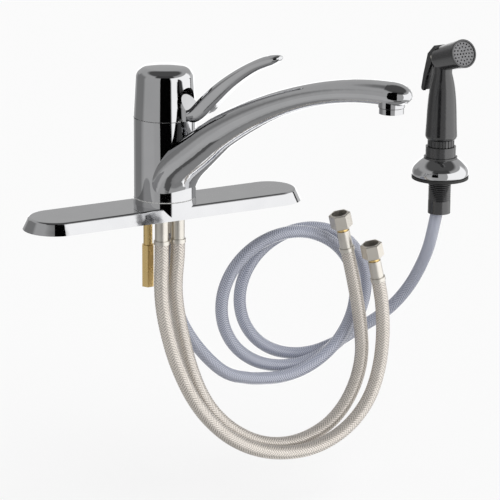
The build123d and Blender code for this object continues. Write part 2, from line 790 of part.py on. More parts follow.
# ---------------------------------------------------------------- diverter
piston_top = diverter_floor + diverter_length

with BuildPart() as diverter_piston:
    extrude(ring_face(0, diverter_radius, diverter_floor, outlet_place), amount=diverter_length)
    waist_foot = diverter_floor + diverter_waist_rise
    waist = ring_face(diverter_waist_radius, diverter_radius + fit_clearance, waist_foot, outlet_place)
    extrude(waist, amount=diverter_length / 2, mode=Mode.SUBTRACT)
save(diverter_piston, "diverter_piston")

with BuildPart() as diverter_spring:
    spring_bore = diverter_radius - spring_wall
    spring = ring_face(spring_bore, diverter_radius - fit_clearance, piston_top, outlet_place)
    extrude(spring, amount=diverter_roof - piston_top)
save(diverter_spring, "diverter_spring")

# ---------------------------------------------------------------- mounting stud and long nut
with BuildPart() as mounting_stud:
    extrude(ring_face(0, stud_radius, stud_end, stud_place), amount=stud_depth - stud_end)
    chamfer(mounting_stud.edges().group_by(Axis.Z)[0], stud_radius / 5)
save(mounting_stud, "mounting_stud")

with BuildPart() as mounting_nut:
    with BuildSketch(Plane.XY.offset(long_nut_top)):
        with Locations(stud_place):
            RegularPolygon(long_nut_flats / 2, 6, major_radius=False)
            Circle(stud_radius + fit_clearance, mode=Mode.SUBTRACT)
    extrude(amount=-long_nut_length)
save(mounting_nut, "mounting_nut")

# ---------------------------------------------------------------- supply hoses
top_ferrule_end = top_ferrule_start - top_ferrule_length

# Hand-chosen points of each supply hose, from the valve body to its end ferrule
supply_routes = {
    "left": (
        (-7.95, -9.3, -25.0),
        (-7.95, -9.3, -41.0),
        (-9.6, -10.8, -61.6),
        (-9.4, -13.0, -81.2),
        (-6.3, -15.0, -102.2),
        (2.1, -16.5, -134.0),
        (21.0, -17.0, -174.2),
        (46.1, -17.0, -204.0),
        (71.9, -17.0, -222.7),
        (101.0, -17.0, -234.6),
        (133.9, -17.0, -238.6),
        (161.3, -17.0, -233.6),
        (186.2, -17.0, -220.4),
        (205.0, -17.0, -199.0),
        (214.6, -17.0, -172.1),
        (218.0, -17.0, -144.0),
        (217.1, -17.0, -118.0),
        (214.6, -17.0, -99.5),
        (211.3, -17.0, -86.1),
    ),
    "right": (
        (7.95, -9.3, -25.0),
        (7.95, -9.3, -37.0),
        (6.7, -8.0, -54.0),
        (6.9, -6.6, -70.0),
        (9.0, -5.5, -84.9),
        (14.5, -4.0, -110.1),
        (23.3, -3.0, -142.5),
        (35.2, -3.0, -172.3),
        (51.2, -3.0, -195.8),
        (73.0, -3.0, -215.4),
        (98.0, -3.0, -229.0),
        (124.0, -3.0, -234.2),
        (148.0, -3.0, -231.6),
        (170.4, -3.0, -222.2),
        (187.6, -3.0, -206.0),
        (199.3, -3.0, -184.3),
        (204.6, -3.0, -160.3),
        (202.9, -3.0, -135.5),
        (198.2, -3.0, -108.1),
        (192.2, -3.0, -80.9),
        (186.2, -3.0, -57.8),
    ),
}


def bend_radii(points):
    """The arc at each inner point of a route, as large as its two runs allow."""
    places = [Vector(*point) for point in points]
    runs = [after - before for before, after in zip(places, places[1:])]
    return [
        0.45 * min(before.length, after.length) / tan(radians(before.get_angle(after)) / 2)
        for before, after in zip(runs, runs[1:])
    ]


def hose_route(points, name):
    """The route of a hose: straight runs joined by tangent arcs."""
    radii = bend_radii(points)
    with BuildLine() as route:
        FilletPolyline(*points, radius=radii)
    length = route.wires()[0].length
    print(f"{name}: {length:.0f} mm long, bends of {min(radii):.0f} mm and more")
    return route.wires()[0]


def hose_face(start, direction, diameter):
    """The round end of a hose, square to its direction."""
    with BuildSketch(Plane(origin=start, z_dir=direction)) as face:
        Circle(diameter / 2)
    return face.sketch


def first_run(points):
    return Vector(*points[1]) - Vector(*points[0])


for side, points in supply_routes.items():
    with BuildPart() as supply_hose:
        route = hose_route(points, f"supply_hose_{side}")
        sweep(hose_face(points[0], first_run(points), supply_hose_diameter), path=route)
    save(supply_hose, f"supply_hose_{side}")

nut_foot = end_ferrule_length + end_neck_length
flange_foot = nut_foot + nut_floor + face_gap
flange_top = flange_foot + end_flange_height

for side, place in supply_places.items():
    with BuildPart() as supply_stem:
        extrude(ring_face(0, supply_bore - fit_clearance, top_ferrule_start, place), amount=supply_stem_rise)
        barb_length = top_ferrule_length / 2
        extrude(ring_face(0, supply_barb_radius, top_ferrule_start, place), amount=-barb_length)
        waterway_length = supply_stem_rise + barb_length
        waterway = ring_face(0, supply_waterway, top_ferrule_start - barb_length, place)
        extrude(waterway, amount=waterway_length, mode=Mode.SUBTRACT)
    save(supply_stem, f"supply_stem_{side}")

    with BuildPart() as supply_top_ferrule:
        extrude(ring_face(0, ferrule_radius, top_ferrule_end, place), amount=top_ferrule_length)
        extrude(ring_face(0, ferrule_bell_radius, top_ferrule_end, place), amount=ferrule_bell_height)
        bore = ring_face(0, supply_barb_radius + fit_clearance, top_ferrule_end, place)
        extrude(bore, amount=top_ferrule_length, mode=Mode.SUBTRACT)
    save(supply_top_ferrule, f"supply_top_ferrule_{side}")

    # The far end, along the last run of the hose
    last, before_last = supply_routes[side][-1], supply_routes[side][-2]
    run = (Vector(*last) - Vector(*before_last)).normalized()
    end_plane = Plane(origin=last, x_dir=(0, 1, 0), z_dir=run)

    with BuildPart() as supply_end_ferrule:
        with BuildSketch(end_plane):
            Circle(ferrule_radius)
            Circle(supply_barb_radius + fit_clearance, mode=Mode.SUBTRACT)
        extrude(amount=end_ferrule_length)
        with BuildSketch(end_plane):
            Circle(ferrule_bell_radius)
            Circle(supply_barb_radius + fit_clearance, mode=Mode.SUBTRACT)
        extrude(amount=ferrule_bell_height)
    save(supply_end_ferrule, f"supply_end_ferrule_{side}")

    with BuildPart() as supply_end_stem:
        with BuildSketch(end_plane.offset(end_ferrule_length / 2)):
            Circle(supply_barb_radius)
        extrude(amount=end_ferrule_length / 2)
        with BuildSketch(end_plane.offset(end_ferrule_length)):
            Circle(end_neck_radius)
        extrude(amount=flange_foot - end_ferrule_length)
        with BuildSketch(end_plane.offset(flange_foot)):
            Circle(end_flange_radius)
        extrude(amount=end_flange_height)
        with BuildSketch(end_plane):
            Circle(supply_waterway)
        extrude(amount=flange_top, mode=Mode.SUBTRACT)
    save(supply_end_stem, f"supply_end_stem_{side}")

    with BuildPart() as supply_nut:
        with BuildSketch(end_plane.offset(nut_foot)):
            RegularPolygon(nut_flats / 2, 6, major_radius=False)
        extrude(amount=nut_height)
        rims = supply_nut.faces().sort_by(Axis(last, run))
        chamfer(ShapeList([*rims[0].edges(), *rims[-1].edges()]), nut_chamfer)
        with BuildSketch(end_plane.offset(nut_foot)):
            Circle(end_neck_radius + running_clearance)
        extrude(amount=nut_height, mode=Mode.SUBTRACT)
        with BuildSketch(end_plane.offset(nut_foot + nut_floor)):
            Circle(nut_thread_radius)
        extrude(amount=nut_height, mode=Mode.SUBTRACT)
        # Wider relief round the flange and the seal, under the thread
        with BuildSketch(end_plane.offset(nut_foot + nut_floor)):
            Circle(nut_relief_radius)
        extrude(amount=flange_top + seal_height - nut_foot - nut_floor, mode=Mode.SUBTRACT)
    save(supply_nut, f"supply_nut_{side}")

    with BuildPart() as supply_seal:
        with BuildSketch(end_plane.offset(flange_top)):
            Circle(end_flange_radius)
            Circle(supply_waterway, mode=Mode.SUBTRACT)
        extrude(amount=seal_height)
    save(supply_seal, f"supply_seal_{side}")

# ---------------------------------------------------------------- spray hose
nipple_foot = -nipple_neck_length
spray_ferrule_end = nipple_foot - spray_ferrule_length

with BuildPart() as spray_outlet_nipple:
    nipple_length = nipple_rise + nipple_neck_length
    barb_foot = nipple_foot - spray_barb_length
    extrude(ring_face(0, nipple_radius, nipple_foot, outlet_place), amount=nipple_length)
    extrude(ring_face(0, nipple_barb_radius, barb_foot, outlet_place), amount=spray_barb_length)
    waterway = ring_face(0, supply_waterway, barb_foot, outlet_place)
    extrude(waterway, amount=nipple_length + spray_barb_length, mode=Mode.SUBTRACT)
save(spray_outlet_nipple, "spray_outlet_nipple")

with BuildPart() as spray_outlet_ferrule:
    ferrule_bore = nipple_barb_radius + fit_clearance
    ferrule = ring_face(ferrule_bore, spray_ferrule_radius, spray_ferrule_end, outlet_place)
    extrude(ferrule, amount=spray_ferrule_length)
save(spray_outlet_ferrule, "spray_outlet_ferrule")


def coil_point(angle):
    """A point of the hanging coil; it widens, drifts and comes forward turn by turn."""
    turn = (-90.0 - angle) / 360.0
    return Vector(
        coil_x + coil_drift_x * turn + (coil_half_width + coil_growth * turn) * cos(radians(angle)),
        coil_y + coil_pitch * turn,
        coil_z + coil_drift_z * turn + (coil_half_height + coil_growth * turn) * sin(radians(angle)),
    )


def coil_direction(angle):
    return (coil_point(angle - 0.5) - coil_point(angle + 0.5)).normalized()


def coil_path():
    """The coil as pairs of tangent arcs over each quarter turn, with a straight lead at each end."""
    angles = [coil_start_angle - coil_sweep_angle * span / coil_spans for span in range(coil_spans + 1)]
    with BuildLine() as path:
        Line(coil_lead_in, coil_point(angles[0]))
        for before, after in zip(angles, angles[1:]):
            start, end = coil_point(before), coil_point(after)
            start_way, end_way = coil_direction(before), coil_direction(after)
            chord, ways = end - start, start_way + end_way
            bend = 2 * (1 - start_way.dot(end_way))
            pull = chord.dot(ways)
            reach = (sqrt(pull**2 + bend * chord.dot(chord)) - pull) / bend
            first_corner, second_corner = start + start_way * reach, end - end_way * reach
            middle = (first_corner + second_corner) / 2
            TangentArc(start, middle, tangent=start_way)
            TangentArc(middle, end, tangent=second_corner - first_corner)
        Line(coil_point(angles[-1]), coil_lead_out)
    return path.wires()[0]


coil_end_angle = coil_start_angle - coil_sweep_angle
coil_lead_in = coil_point(coil_start_angle) - coil_direction(coil_start_angle) * spray_hose_diameter
coil_lead_out = coil_point(coil_end_angle) + coil_direction(coil_end_angle) * spray_hose_diameter
coil_approach = coil_lead_in - coil_direction(coil_start_angle) * coil_approach_length
coil_departure = coil_lead_out + coil_direction(coil_end_angle) * coil_departure_length

with BuildPart() as spray_hose_coil:
    path = coil_path()
    start_way = coil_direction(coil_start_angle)
    sweep(hose_face(coil_lead_in, start_way, spray_hose_diameter), path=path)
    samples = [coil_point(coil_start_angle - 5.0 * step) for step in range(int(coil_sweep_angle / 5.0) + 1)]
    strand_gap = min(
        (samples[first] - samples[second]).length - spray_hose_diameter
        for first in range(len(samples))
        for second in range(first + 36, len(samples))
    )
    print(f"spray_hose_coil: {path.length:.0f} mm long, least gap between turns {strand_gap:.2f} mm")
save(spray_hose_coil, "spray_hose_coil")

# Hand-chosen points of the hose from the holder's shank to the coil
upper_points = (
    (282.0, -8.0, -14.0),
    (282.0, -8.0, -20.5),
    (280.4, -7.3, -31.0),
    (277.7, -5.6, -49.1),
    (276.5, -0.5, -68.5),
    (273.7, 8.0, -88.6),
    (269.0, 18.5, -109.2),
    (258.6, 29.5, -129.3),
    (243.0, 37.9, -143.4),
)

with BuildPart() as spray_hose_upper:
    points = (*upper_points, tuple(coil_approach), tuple(coil_lead_in))
    route = hose_route(points, "spray_hose_upper")
    sweep(hose_face(points[0], first_run(points), spray_hose_diameter), path=route)
save(spray_hose_upper, "spray_hose_upper")

# Hand-chosen points of the hose from the spray outlet down to the coil
tail_points = (
    (12.0, 8.0, -20.0),
    (12.0, 8.0, -36.0),
    (12.4, 9.4, -56.0),
    (14.6, 11.0, -78.0),
    (20.2, 12.3, -99.5),
    (30.2, 13.0, -118.5),
    (41.9, 13.5, -134.5),
    (54.0, 13.7, -148.3),
    (66.5, 13.8, -159.8),
)

with BuildPart() as spray_hose_tail:
    points = (*tail_points, tuple(coil_departure), tuple(coil_lead_out))
    route = hose_route(points, "spray_hose_tail")
    sweep(hose_face(points[0], first_run(points), spray_hose_diameter), path=route)
save(spray_hose_tail, "spray_hose_tail")

# ---------------------------------------------------------------- side spray holder
escutcheon_foot = spray_gasket_height
escutcheon_top = escutcheon_foot + escutcheon_height
holder_rim = escutcheon_top + holder_flare_height + holder_collar_height
cup_floor = holder_rim - holder_cup_depth

with BuildPart() as spray_gasket:
    gasket_ring = ring_face(shank_radius + shank_clearance, spray_gasket_radius, 0, spray_place)
    extrude(gasket_ring, amount=spray_gasket_height)
save(spray_gasket, "spray_gasket")


def escutcheon_face(inset):
    """Half section of the rounded cover under the holder, with its outline moved inwards."""
    belly = escutcheon_foot + escutcheon_belly_share * escutcheon_height
    shoulder = escutcheon_foot + escutcheon_shoulder_share * escutcheon_height
    with BuildSketch(Plane(origin=(*spray_place, 0), x_dir=(1, 0, 0), z_dir=(0, -1, 0))) as face:
        with BuildLine():
            Spline(
                (escutcheon_foot_radius - inset, escutcheon_foot),
                (escutcheon_foot_radius + escutcheon_bulge - inset, belly),
                (escutcheon_shoulder_radius - inset, shoulder - inset / 2),
                (escutcheon_crown_radius - inset, escutcheon_top - inset),
            )
            Polyline(
                (escutcheon_crown_radius - inset, escutcheon_top - inset),
                (0, escutcheon_top - inset),
                (0, escutcheon_foot),
                (escutcheon_foot_radius - inset, escutcheon_foot),
            )
        make_face()
    return face.sketch


with BuildPart() as spray_escutcheon:
    revolve(escutcheon_face(0), axis=upright(spray_place))
    revolve(escutcheon_face(escutcheon_wall), axis=upright(spray_place), mode=Mode.SUBTRACT)
    shank_hole = ring_face(0, shank_radius + shank_clearance, escutcheon_foot, spray_place)
    extrude(shank_hole, amount=escutcheon_height, mode=Mode.SUBTRACT)
save(spray_escutcheon, "spray_escutcheon")

with BuildPart() as spray_holder:
    extrude(ring_face(0, shank_radius, shank_end, spray_place), amount=escutcheon_top - shank_end)
    extrude(ring_face(0, holder_flare_radius, escutcheon_top, spray_place), amount=holder_flare_height)
    collar_foot = escutcheon_top + holder_flare_height
    extrude(ring_face(0, holder_collar_radius, collar_foot, spray_place), amount=holder_collar_height)
    bore = ring_face(0, holder_bore, shank_end, spray_place)
    extrude(bore, amount=holder_rim - shank_end, mode=Mode.SUBTRACT)
    cup = ring_face(0, holder_cup_radius, cup_floor, spray_place)
    extrude(cup, amount=holder_cup_depth, mode=Mode.SUBTRACT)
    for index in range(shank_thread_count):
        crest = shank_thread_top - shank_thread_pitch * index
        groove = (
            (shank_radius + fit_clearance, crest),
            (shank_radius - shank_thread_depth, crest - shank_thread_pitch / 2),
            (shank_radius + fit_clearance, crest - shank_thread_pitch + fit_clearance),
        )
        revolve(turned_face(groove, spray_place), axis=upright(spray_place), mode=Mode.SUBTRACT)
save(spray_holder, "spray_holder")

# ---------------------------------------------------------------- sprayer
coupling_foot = holder_rim + coupling_clearance
coupling_top = coupling_foot + coupling_height
nose_radius = holder_cup_radius - coupling_clearance
socket_radius = spray_hose_diameter / 2 + fit_clearance
socket_top = cup_floor + hose_socket_depth

with BuildPart() as sprayer_coupling:
    extrude(ring_face(0, nose_radius, cup_floor, spray_place), amount=coupling_top - cup_floor)
    extrude(ring_face(0, coupling_radius, coupling_foot, spray_place), amount=coupling_height)
    with BuildSketch(Plane.XY.offset(coupling_foot)):
        with Locations(spray_place):
            with PolarLocations(coupling_radius, coupling_groove_count):
                Circle(coupling_groove_radius)
    extrude(amount=coupling_height, mode=Mode.SUBTRACT)
    extrude(ring_face(0, socket_radius, cup_floor, spray_place), amount=hose_socket_depth, mode=Mode.SUBTRACT)
    waterway = ring_face(0, handle_channel_radius, socket_top, spray_place)
    extrude(waterway, amount=coupling_top - socket_top, mode=Mode.SUBTRACT)
save(sprayer_coupling, "sprayer_coupling")

with BuildPart() as spray_hose_stub:
    stub = ring_face(0, spray_hose_diameter / 2, hose_stub_end, spray_place)
    extrude(stub, amount=socket_top - hose_stub_end)
save(spray_hose_stub, "spray_hose_stub")

aim = Vector(0, -cos(radians(head_tilt)), sin(radians(head_tilt)))
face_center = Vector(spray_x, spray_y - head_face_reach, head_face_height)
head_plane = Plane(origin=face_center - aim * head_length, x_dir=(1, 0, 0), z_dir=aim)
barrel_length = head_length - face_ring_length
spray_side_plane = Plane(origin=(spray_x, 0, head_face_height), x_dir=(0, 1, 0), z_dir=(1, 0, 0))
stem_height = head_face_height - valve_stem_drop
stem_plane = Plane(origin=(spray_x, spray_y, stem_height), x_dir=(1, 0, 0), z_dir=(0, 1, 0))
pivot_place = (trigger_pivot_y, -trigger_pivot_drop)
slot_inner = trigger_lug_half_width
slot_outer = trigger_half_width + trigger_side_clearance

# Side view of the trigger as Y and height over the face's centre: its outer line going down,
# then its flanges' line going up
trigger_top = (-4.4, 1.6)
trigger_bend = (5.8, -7.4)
trigger_knee = (12.1, -27.9)
trigger_toe = (15.5, -42.6)
trigger_outer_line = (trigger_top, trigger_bend, trigger_knee, trigger_toe)
trigger_inner_line = ((11.0, -43.0), (6.5, -28.0), (-1.6, -12.5), (-6.4, -1.5))


def facing(start, end):
    """The slope of the outward side of a run of the trigger's outer line."""
    return degrees(atan2(end[0] - start[0], start[1] - end[1]))


def inside(point, depth, slope):
    """A point moved square to a line of the trigger, towards the sprayer."""
    return (point[0] - depth * cos(radians(slope)), point[1] - depth * sin(radians(slope)))


# The hollow lies one web inside the outer line, and the head stays clear of both
top_slope = facing(trigger_top, trigger_bend)
middle_slope = facing(trigger_bend, trigger_knee)
toe_slope = facing(trigger_knee, trigger_toe)
trigger_hollow = (
    inside(trigger_top, trigger_web, top_slope),
    inside(trigger_bend, trigger_web, (top_slope + middle_slope) / 2),
    inside(trigger_knee, trigger_web, (middle_slope + toe_slope) / 2),
    inside(trigger_toe, trigger_web, toe_slope),
    (15.5, -52.0),
    (-20.0, -52.0),
    (-20.0, 13.0),
)
beyond_top = [2 * top - bend for top, bend in zip(trigger_top, trigger_bend)]
web_room_corner = inside(trigger_bend, trigger_web + trigger_side_clearance, top_slope)
web_room = (
    inside(beyond_top, trigger_web + trigger_side_clearance, top_slope),
    web_room_corner,
    (web_room_corner[0], -18.0),
    (30.0, -18.0),
    (30.0, 13.0),
)
flange_room = (
    (-8.2, -2.2),
    (-3.0, -13.8),
    (-1.0, -19.0),
    (30.0, -19.0),
    (30.0, 13.0),
    (-8.2, 13.0),
)
handle_neck_rise = head_face_height - handle_neck_drop - coupling_top
handle_top_rise = head_face_height - handle_top_drop - coupling_top

with BuildPart() as sprayer_body:
    # Barrel of the head, rounded at the back
    with BuildSketch(head_plane):
        Circle(head_back_radius)
    with BuildSketch(head_plane.offset(barrel_length)):
        Circle(head_face_radius)
    loft()
    fillet(sprayer_body.edges().sort_by(Axis(face_center, aim))[0], head_back_fillet)
    # Handle
    with BuildSketch(Plane(origin=(*spray_place, coupling_top), x_dir=(1, 0, 0), z_dir=(0, -1, 0))):
        with BuildLine():
            hip = (handle_hip_radius, handle_hip_rise)
            neck = (handle_neck_radius, handle_neck_rise)
            foot = (handle_foot_radius, 0)
            middle_radius = (handle_foot_radius + handle_hip_radius) / 2
            foot_middle = (middle_radius + handle_foot_bulge, handle_hip_rise / 2 - handle_foot_bulge)
            waist = (handle_waist_radius, handle_waist_share * handle_neck_rise)
            grip = (handle_grip_radius, handle_grip_share * handle_neck_rise)
            ThreePointArc(foot, foot_middle, hip)
            Spline(hip, waist, grip, neck)
            Polyline(neck, (handle_neck_radius, handle_top_rise), (0, handle_top_rise), (0, 0), foot)
        make_face()
    revolve(axis=upright(spray_place))
    # Lug for the trigger's pin, and the boss for the valve stem
    with BuildSketch(spray_side_plane.offset(-trigger_lug_half_width)):
        with Locations(pivot_place):
            Circle(trigger_lug_radius)
    extrude(amount=2 * trigger_lug_half_width)
    with BuildSketch(stem_plane):
        Circle(valve_boss_radius)
    extrude(amount=valve_boss_end - spray_y)
    # Room for the trigger's web behind the head, and for its two flanges beside the lug
    with BuildSketch(spray_side_plane.offset(-slot_outer)):
        Polygon(*web_room, align=None)
    extrude(amount=2 * slot_outer, mode=Mode.SUBTRACT)
    for offset in (-slot_outer, slot_inner):
        with BuildSketch(spray_side_plane.offset(offset)):
            Polygon(*flange_room, align=None)
        extrude(amount=slot_outer - slot_inner, mode=Mode.SUBTRACT)
    # Waterway up the handle and out through the head
    with BuildSketch(Plane.XY.offset(coupling_top)):
        with Locations(spray_place):
            Circle(handle_channel_radius)
    extrude(amount=handle_top_rise, mode=Mode.SUBTRACT)
    with BuildSketch(head_plane.offset(head_length / 4)):
        Circle(handle_channel_radius)
    extrude(amount=head_length, mode=Mode.SUBTRACT)
    with BuildSketch(head_plane.offset(barrel_length)):
        Circle(head_face_radius - head_wall)
    extrude(amount=-head_chamber_depth, mode=Mode.SUBTRACT)
    # Bore for the trigger's pin, and the valve's bore and spring pocket
    with BuildSketch(spray_side_plane.offset(-trigger_lug_half_width)):
        with Locations(pivot_place):
            Circle(trigger_pin_radius + fit_clearance)
    extrude(amount=2 * trigger_lug_half_width, mode=Mode.SUBTRACT)
    with BuildSketch(stem_plane):
        Circle(valve_stem_radius + running_clearance)
    extrude(amount=valve_boss_end - spray_y, mode=Mode.SUBTRACT)
    with BuildSketch(stem_plane.offset(valve_pocket_floor - spray_y)):
        Circle(valve_pocket_radius)
    extrude(amount=valve_boss_end - valve_pocket_floor, mode=Mode.SUBTRACT)
save(sprayer_body, "sprayer_body")

with BuildPart() as sprayer_face_ring:
    with BuildSketch(head_plane.offset(barrel_length)):
        Circle(head_face_radius)
        Circle(head_face_radius - face_ring_wall, mode=Mode.SUBTRACT)
    extrude(amount=face_ring_length)
    fillet(sprayer_face_ring.faces().sort_by(Axis(face_center, aim))[-1].edges(), face_ring_wall / 4)
save(sprayer_face_ring, "sprayer_face_ring")

with BuildPart() as sprayer_nozzle:
    with BuildSketch(head_plane.offset(barrel_length)):
        Circle(head_face_radius - face_ring_wall - fit_clearance)
        Circle(nozzle_hole_radius, mode=Mode.SUBTRACT)
        for ring_index in (1, 2, 3):
            with PolarLocations(nozzle_ring_pitch * ring_index, 6 * ring_index):
                Circle(nozzle_hole_radius, mode=Mode.SUBTRACT)
    extrude(amount=face_ring_length - nozzle_recess)
save(sprayer_nozzle, "sprayer_nozzle")

with BuildPart() as sprayer_trigger:
    with BuildSketch(spray_side_plane.offset(-trigger_half_width)):
        Polygon(*trigger_outer_line, *trigger_inner_line, align=None)
    extrude(amount=2 * trigger_half_width)
    fillet(sprayer_trigger.edges().filter_by(Axis.X).sort_by(Axis.Y)[-1], trigger_web)
    # Hollow between the flanges
    with BuildSketch(spray_side_plane.offset(trigger_flange - trigger_half_width)):
        Polygon(*trigger_hollow, align=None)
    extrude(amount=2 * (trigger_half_width - trigger_flange), mode=Mode.SUBTRACT)
    with BuildSketch(spray_side_plane.offset(-trigger_half_width)):
        with Locations(pivot_place):
            Circle(trigger_pin_radius + running_clearance)
    extrude(amount=2 * trigger_half_width, mode=Mode.SUBTRACT)
save(sprayer_trigger, "sprayer_trigger")

with BuildPart() as trigger_pin:
    with BuildSketch(spray_side_plane.offset(-trigger_half_width)):
        with Locations(pivot_place):
            Circle(trigger_pin_radius)
    extrude(amount=2 * trigger_half_width)
save(trigger_pin, "trigger_pin")

with BuildPart() as sprayer_valve_stem:
    with BuildSketch(stem_plane.offset(valve_stem_inner_end - spray_y)):
        Circle(valve_stem_radius)
    extrude(amount=valve_stem_outer_end - valve_stem_inner_end)
    with BuildSketch(stem_plane.offset(valve_spring_end - spray_y)):
        Circle(valve_pocket_radius - 2 * running_clearance)
    extrude(amount=valve_head_length)
save(sprayer_valve_stem, "sprayer_valve_stem")

with BuildPart() as sprayer_valve_spring:
    with BuildSketch(stem_plane.offset(valve_spring_start - spray_y)):
        Circle(valve_pocket_radius - 2 * running_clearance)
        Circle(valve_stem_radius + fit_clearance, mode=Mode.SUBTRACT)
    extrude(amount=valve_spring_end - valve_spring_start)
save(sprayer_valve_spring, "sprayer_valve_spring")
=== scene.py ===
"""Looks of a single-lever kitchen faucet with a side spray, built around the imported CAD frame."""

import json
import math

import bpy
from mathutils import Matrix, Vector


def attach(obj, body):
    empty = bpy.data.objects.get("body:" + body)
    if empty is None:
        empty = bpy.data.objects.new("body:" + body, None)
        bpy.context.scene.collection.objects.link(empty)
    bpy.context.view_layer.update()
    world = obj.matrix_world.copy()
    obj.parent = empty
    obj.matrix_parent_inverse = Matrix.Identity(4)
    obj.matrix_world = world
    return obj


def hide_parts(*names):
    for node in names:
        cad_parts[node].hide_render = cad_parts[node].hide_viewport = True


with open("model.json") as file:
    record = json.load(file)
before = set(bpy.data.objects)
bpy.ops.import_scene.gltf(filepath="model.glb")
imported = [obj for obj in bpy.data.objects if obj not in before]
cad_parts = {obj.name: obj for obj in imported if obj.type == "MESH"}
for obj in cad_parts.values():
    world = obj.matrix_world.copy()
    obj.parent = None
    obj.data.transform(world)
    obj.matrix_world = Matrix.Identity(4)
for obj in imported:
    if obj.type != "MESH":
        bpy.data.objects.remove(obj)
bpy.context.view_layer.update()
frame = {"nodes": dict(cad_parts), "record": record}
NODES = frame["nodes"]
TAU = 2 * math.pi

# ------------------------------------------------------------------ camera
camera = bpy.data.objects.new("photo_camera", bpy.data.cameras.new("photo_camera"))
camera.location = (-1.0450, -1.9670, 0.5967)
camera.rotation_euler = [math.radians(a) for a in (74.2064, -0.4717, -29.7622)]
camera.data.lens = 190.56
camera.data.sensor_width = 36.0
camera.data.clip_end = 60.0
bpy.context.scene.collection.objects.link(camera)
bpy.context.scene.camera = camera
bpy.context.scene.view_settings.view_transform = "Standard"

# Level directions seen from the camera: its right hand, and from the tap back towards it.
TO_RIGHT = Vector((0.8829, -0.4695, 0.0))
TO_CAMERA = Vector((-0.4695, -0.8829, 0.0))


# ------------------------------------------------------------------ hoses: routes
SUPPLY_DIAMETER = 0.0127
SPRAY_DIAMETER = 0.0115

LEFT_SUPPLY_ROUTE = [
    (-0.00795, -0.0093, -0.025),
    (-0.00795, -0.0093, -0.041),
    (-0.0096, -0.0108, -0.0616),
    (-0.0094, -0.013, -0.0812),
    (-0.0063, -0.015, -0.1022),
    (0.0021, -0.0165, -0.134),
    (0.021, -0.017, -0.1742),
    (0.0461, -0.017, -0.204),
    (0.0719, -0.017, -0.2227),
    (0.101, -0.017, -0.2346),
    (0.1339, -0.017, -0.2386),
    (0.1613, -0.017, -0.2336),
    (0.1862, -0.017, -0.2204),
    (0.205, -0.017, -0.199),
    (0.2146, -0.017, -0.1721),
    (0.218, -0.017, -0.144),
    (0.2171, -0.017, -0.118),
    (0.2146, -0.017, -0.0995),
    (0.2113, -0.017, -0.0861),
]
RIGHT_SUPPLY_ROUTE = [
    (0.00795, -0.0093, -0.025),
    (0.00795, -0.0093, -0.037),
    (0.0067, -0.008, -0.054),
    (0.0069, -0.0066, -0.07),
    (0.009, -0.0055, -0.0849),
    (0.0145, -0.004, -0.1101),
    (0.0233, -0.003, -0.1425),
    (0.0352, -0.003, -0.1723),
    (0.0512, -0.003, -0.1958),
    (0.073, -0.003, -0.2154),
    (0.098, -0.003, -0.229),
    (0.124, -0.003, -0.2342),
    (0.148, -0.003, -0.2316),
    (0.1704, -0.003, -0.2222),
    (0.1876, -0.003, -0.206),
    (0.1993, -0.003, -0.1843),
    (0.2046, -0.003, -0.1603),
    (0.2029, -0.003, -0.1355),
    (0.1982, -0.003, -0.1081),
    (0.1922, -0.003, -0.0809),
    (0.1862, -0.003, -0.0578),
]
SPRAY_TAIL_ROUTE = [
    (0.012, 0.008, -0.02),
    (0.012, 0.008, -0.036),
    (0.0124, 0.0094, -0.056),
    (0.0146, 0.011, -0.078),
    (0.0202, 0.0123, -0.0995),
    (0.0302, 0.013, -0.1185),
    (0.0419, 0.0135, -0.1345),
    (0.054, 0.0137, -0.1483),
    (0.0665, 0.0138, -0.1598),
]
SPRAY_UPPER_ROUTE = [
    (0.282, -0.008, -0.014),
    (0.282, -0.008, -0.0205),
    (0.2804, -0.0073, -0.031),
    (0.2777, -0.0056, -0.0491),
    (0.2765, -0.0005, -0.0685),
    (0.2737, 0.008, -0.0886),
    (0.269, 0.0185, -0.1092),
    (0.2586, 0.0295, -0.1293),
    (0.243, 0.0379, -0.1434),
]

# The loose coil of the spray hose: one turn is 360 degrees, and the turns grow and lean as they go.
COIL_FIRST_ANGLE = -65.0
COIL_SWEEP = 765.0
COIL_POINTS = 34
COIL_LEAD = 0.0115
COIL_APPROACH = 0.014
COIL_DEPARTURE = 0.011


def coil_point(angle):
    turn = (-90 - angle) / 360
    around = math.radians(angle)
    across = 0.1735 - 0.0228 * turn + (0.0711 + 0.00354 * turn) * math.cos(around)
    up = -0.10475 - 0.0013 * turn + (0.062 + 0.00354 * turn) * math.sin(around)
    return Vector((across, 0.041 - 0.013 * turn, up))


def coil_direction(angle):
    return (coil_point(angle - 0.5) - coil_point(angle + 0.5)).normalized()


def spray_route():
    """From the outlet under the deck, backwards through the coil, and up to the sprayer."""
    last_angle = COIL_FIRST_ANGLE - COIL_SWEEP
    step = COIL_SWEEP / (COIL_POINTS - 1)
    coil = [coil_point(COIL_FIRST_ANGLE - step * i) for i in range(COIL_POINTS)]
    lead_in = coil[0] - coil_direction(COIL_FIRST_ANGLE) * COIL_LEAD
    lead_out = coil[-1] + coil_direction(last_angle) * COIL_LEAD
    approach = lead_in - coil_direction(COIL_FIRST_ANGLE) * COIL_APPROACH
    departure = lead_out + coil_direction(last_angle) * COIL_DEPARTURE
    upper = [Vector(p) for p in SPRAY_UPPER_ROUTE]
    tail = [Vector(p) for p in SPRAY_TAIL_ROUTE]
    return tail + [departure, lead_out] + coil[::-1] + [lead_in, approach] + upper[::-1]


